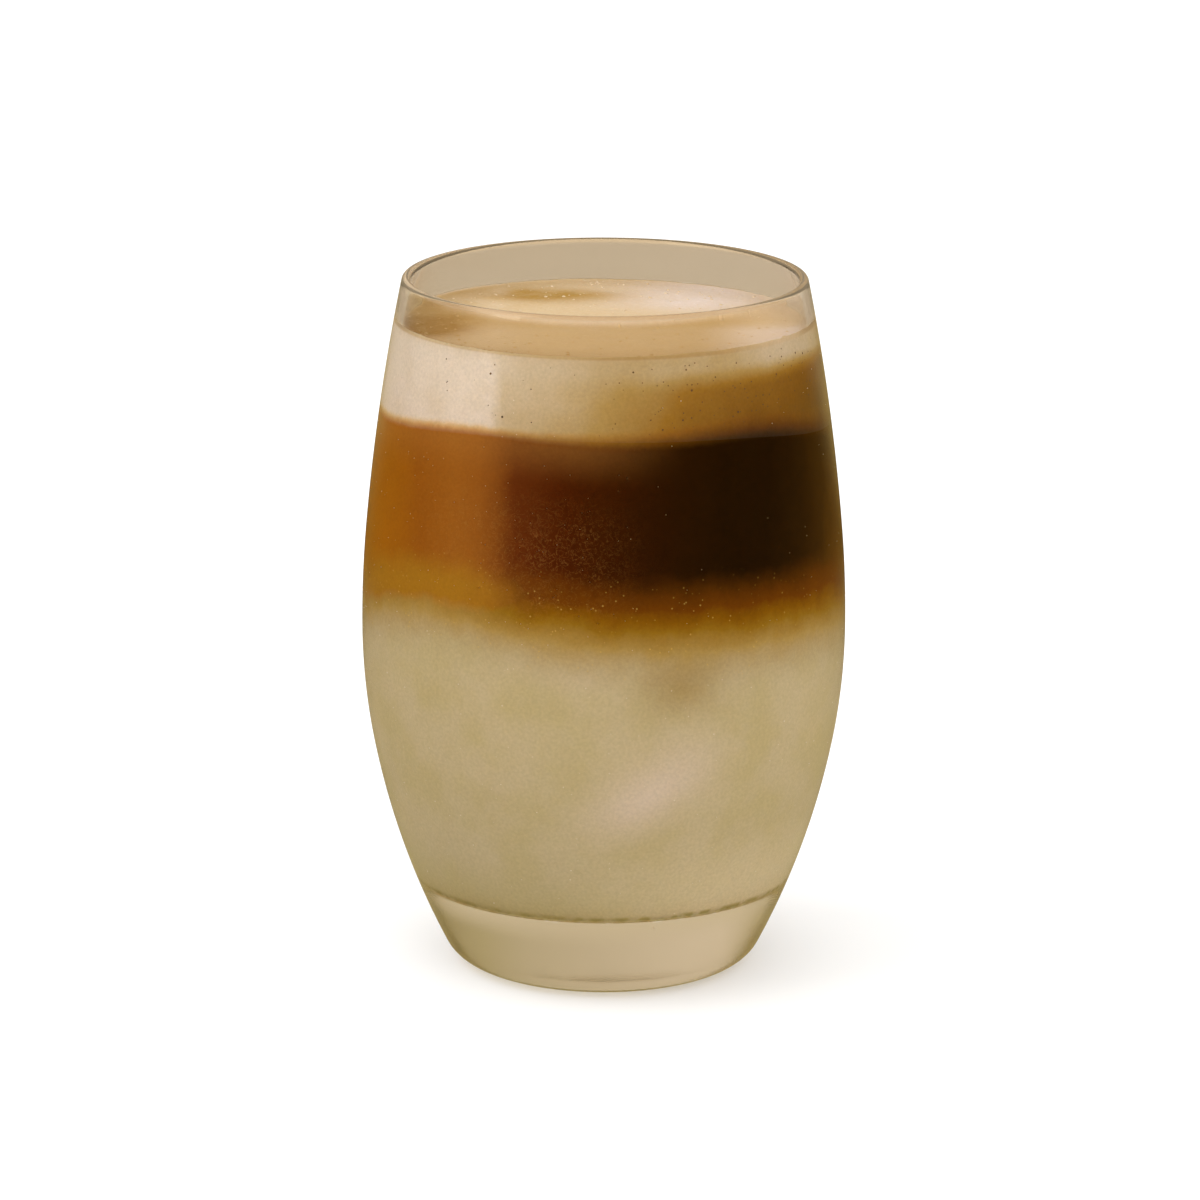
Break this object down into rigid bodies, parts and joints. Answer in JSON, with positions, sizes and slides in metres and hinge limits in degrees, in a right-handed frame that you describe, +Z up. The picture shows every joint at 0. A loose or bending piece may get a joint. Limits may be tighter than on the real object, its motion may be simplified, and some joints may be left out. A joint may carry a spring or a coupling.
{
  "type": "iced latte in a glass tumbler",
  "caption": "Iced coconut latte in a barrel-shaped clear tumbler with a thick base: coconut milk below, coffee above it and a layer of foam on top.",
  "frame": {"origin": "centre of the underside of the glass, on the surface it stands on", "axes": "+Z up along the axis of the glass; -Y is the side shown at the front, +X is to its right"},
  "size_m": [0.0816, 0.0816, 0.118],
  "materials": {
    "clear_glass": "clear, lightly misted outside",
    "coconut_milk": "cloudy liquid",
    "coffee": "dark liquid",
    "foam": "fine soft foam"
  },
  "bodies": {
    "root": {"glass": "clear_glass", "coconut_milk": "coconut_milk", "coffee": "coffee", "foam": "foam"}
  },
  "joints": []
}
